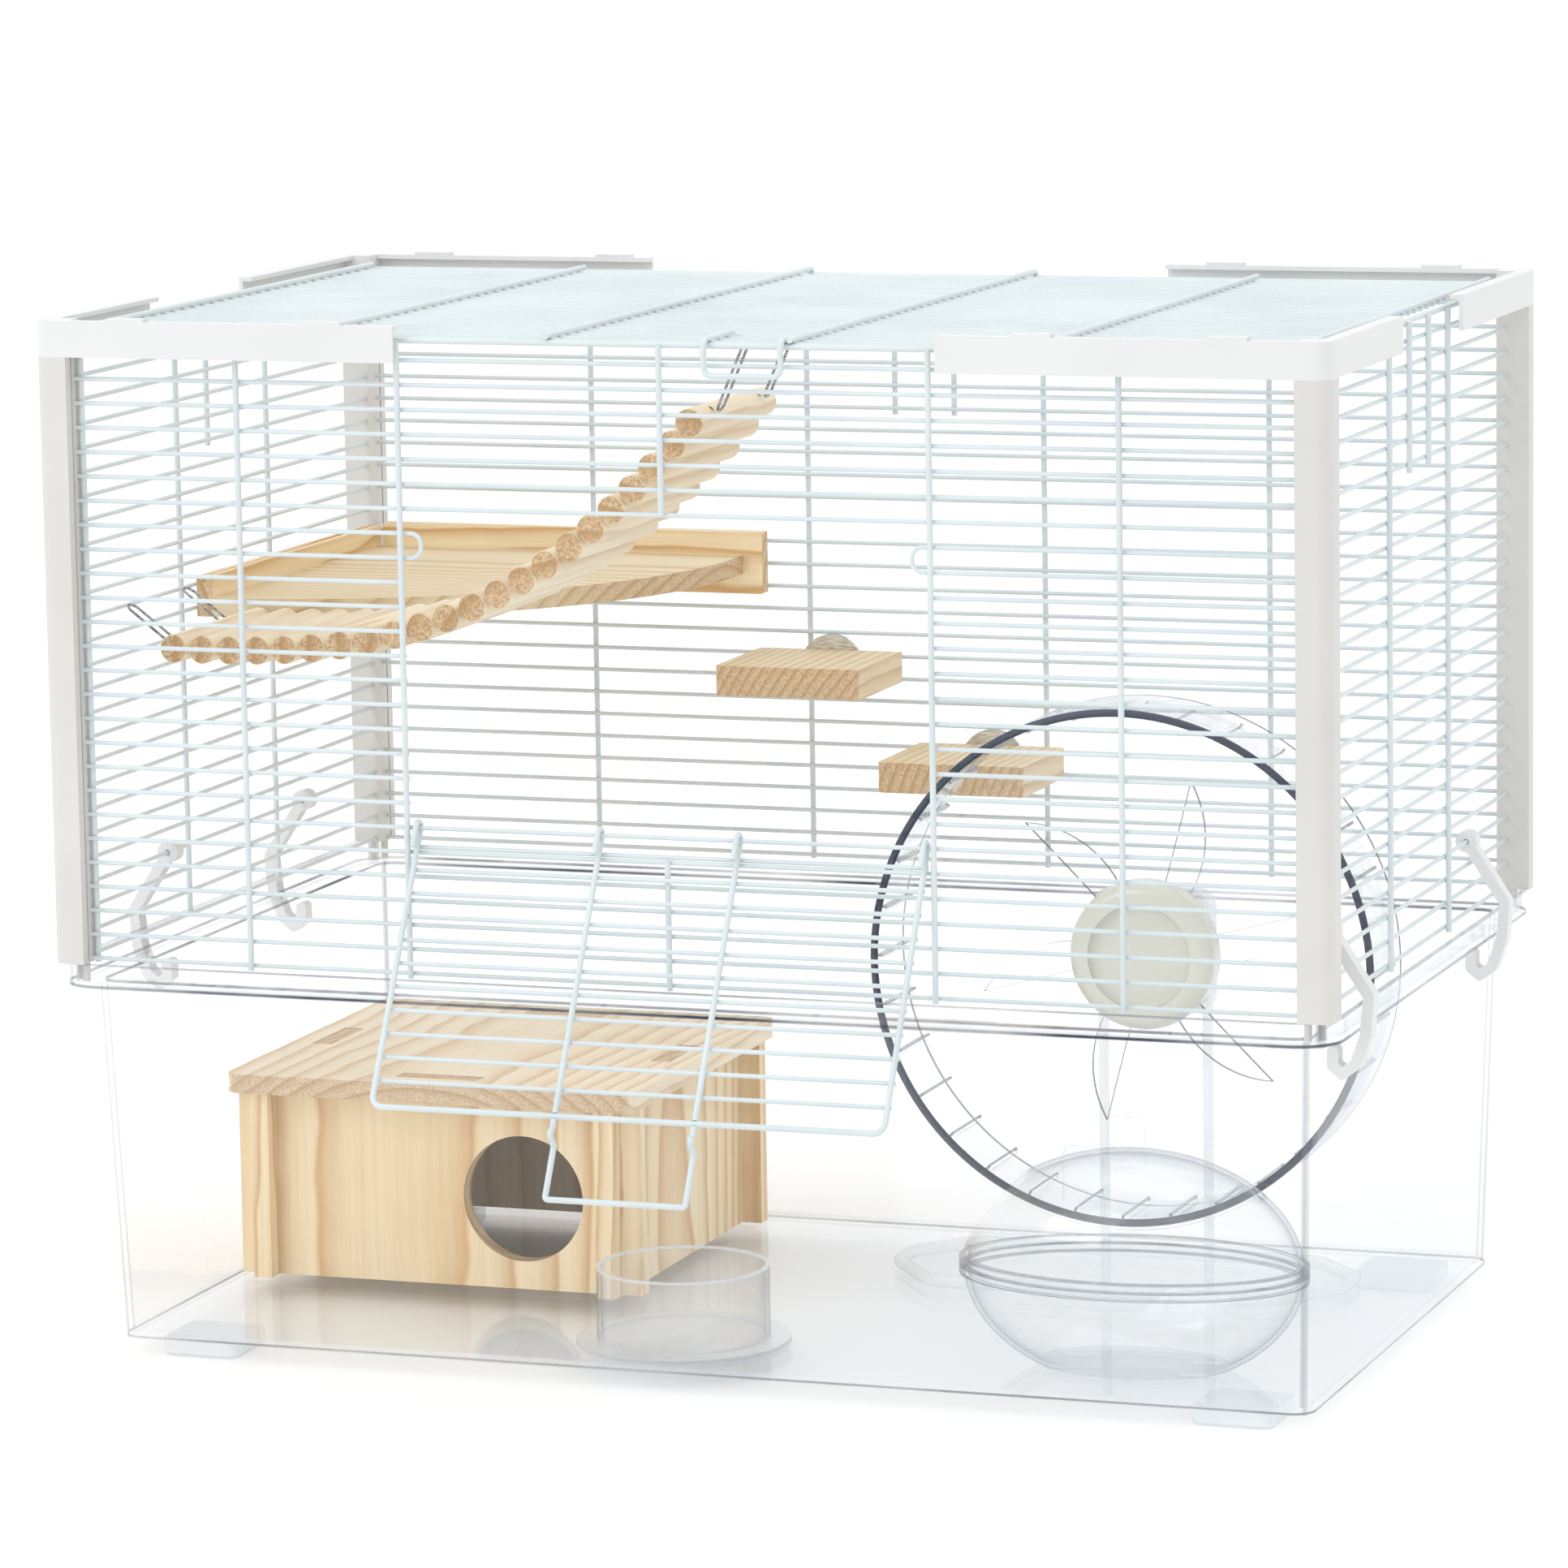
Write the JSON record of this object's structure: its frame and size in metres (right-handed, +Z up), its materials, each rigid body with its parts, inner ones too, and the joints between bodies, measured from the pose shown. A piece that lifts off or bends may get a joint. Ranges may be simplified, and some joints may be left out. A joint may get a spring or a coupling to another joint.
{
  "type": "hamster cage",
  "caption": "Hamster cage: clear deep tub with a hinged wire lid, open front door, rod bridge, corner shelf, wooden house, exercise wheel, sand bath and food bowl.",
  "frame": {"origin": "bottom centre of the whole model's box, on the surface the feet stand on", "axes": "+X along the long side, -Y the side with the front door, +Z up"},
  "size_m": [0.619, 0.4372, 0.48],
  "materials": {
    "clear_plastic": "clear polished moulding",
    "foot_plastic": "translucent moulding",
    "post_plastic": "satin ivory extrusion",
    "bracket_plastic": "white moulding",
    "pine": "planed pine board",
    "rod_wood": "peeled round rod",
    "bright_steel": "zinc plated",
    "hub_plastic": "warm ivory gloss",
    "coated_wire": "off-white powder coat"
  },
  "bodies": {
    "cage": {"back_panel": "coated_wire", "base_tub": "clear_plastic", "bath_bowl": "clear_plastic", "bridge_hooks_lower": "bright_steel", "bridge_hooks_upper": "bright_steel", "bridge_rods": "rod_wood", "bridge_wires": "bright_steel", "corner_bracket_back_left": "bracket_plastic", "corner_bracket_back_right": "bracket_plastic", "corner_bracket_front_left": "bracket_plastic", "corner_bracket_front_right": "bracket_plastic", "corner_post_back_left": "post_plastic", "corner_post_back_right": "post_plastic", "corner_post_front_left": "post_plastic", "corner_post_front_right": "post_plastic", "door_guide_loops": "coated_wire", "front_panel": "coated_wire", "house_back_wall": "pine", "house_front_wall": "pine", "house_left_wall": "pine", "house_right_wall": "pine", "jump_block_bolts": "bright_steel", "jump_block_lower": "pine", "jump_block_upper": "pine", "jump_block_washers": "bright_steel", "jump_block_wing_nuts": "bright_steel", "left_panel": "coated_wire", "right_panel": "coated_wire", "shelf_back_rail": "pine", "shelf_board": "pine", "shelf_side_rail": "pine", "tub_foot_back_left": "foot_plastic", "tub_foot_back_right": "foot_plastic", "tub_foot_front_left": "foot_plastic", "tub_foot_front_right": "foot_plastic", "wheel_axle": "bright_steel", "wheel_stand": "clear_plastic", "wheel_stand_foot": "clear_plastic"},
    "lid": {"lid_hinge_loops": "coated_wire", "lid_latch": "coated_wire", "lid_panel": "coated_wire"},
    "front_door": {"front_door_frame": "coated_wire", "front_door_grid": "coated_wire"},
    "latch_right_front": {"latch_right_front": "bracket_plastic"},
    "latch_right_rear": {"latch_right_rear": "bracket_plastic"},
    "latch_left_front": {"latch_left_front": "bracket_plastic"},
    "latch_left_rear": {"latch_left_rear": "bracket_plastic"},
    "wheel": {"wheel_back_disc": "clear_plastic", "wheel_bearing": "bright_steel", "wheel_drum": "clear_plastic", "wheel_hub_cap": "hub_plastic"},
    "house_roof": {"house_roof": "pine"},
    "bath_cover": {"bath_cover": "clear_plastic"},
    "food_bowl": {"food_bowl": "clear_plastic"}
  },
  "joints": [
    {"name": "door_hinge", "type": "hinge", "parent": "cage", "child": "front_door", "pos_m": [-0.004, -0.14168, 0.254], "axis": [-1, 0, 0], "range_deg": [0, 150.4]},
    {"name": "lid_hinge", "type": "hinge", "parent": "cage", "child": "lid", "pos_m": [0, 0.20892, 0.4718], "axis": [-1, 0, 0], "range_deg": [0, 100]},
    {"name": "wheel_spin", "type": "hinge", "parent": "cage", "child": "wheel", "pos_m": [0.1585, 0.03362, 0.177], "axis": [0, 1, 0], "continuous": true},
    {"name": "latch_right_front_swing", "type": "hinge", "parent": "cage", "child": "latch_right_front", "pos_m": [0.2888, -0.11338, 0.221], "axis": [0, -1, 0], "range_deg": [0, 120]},
    {"name": "latch_right_rear_swing", "type": "hinge", "parent": "cage", "child": "latch_right_rear", "pos_m": [0.2888, 0.13062, 0.221], "axis": [0, -1, 0], "range_deg": [0, 120]},
    {"name": "latch_left_front_swing", "type": "hinge", "parent": "cage", "child": "latch_left_front", "pos_m": [-0.2888, -0.04338, 0.221], "axis": [0, 1, 0], "range_deg": [0, 120]},
    {"name": "latch_left_rear_swing", "type": "hinge", "parent": "cage", "child": "latch_left_rear", "pos_m": [-0.2888, 0.11562, 0.221], "axis": [0, 1, 0], "range_deg": [0, 120]},
    {"name": "house_roof_lift", "type": "slide", "parent": "cage", "child": "house_roof", "axis": [0, 0, 1], "range_m": [0, 0.15]},
    {"name": "bath_cover_lift", "type": "slide", "parent": "cage", "child": "bath_cover", "axis": [0, 0, 1], "range_m": [0, 0.12]},
    {"name": "food_bowl_lift", "type": "slide", "parent": "cage", "child": "food_bowl", "axis": [0, 0, 1], "range_m": [0, 0.15]}
  ]
}
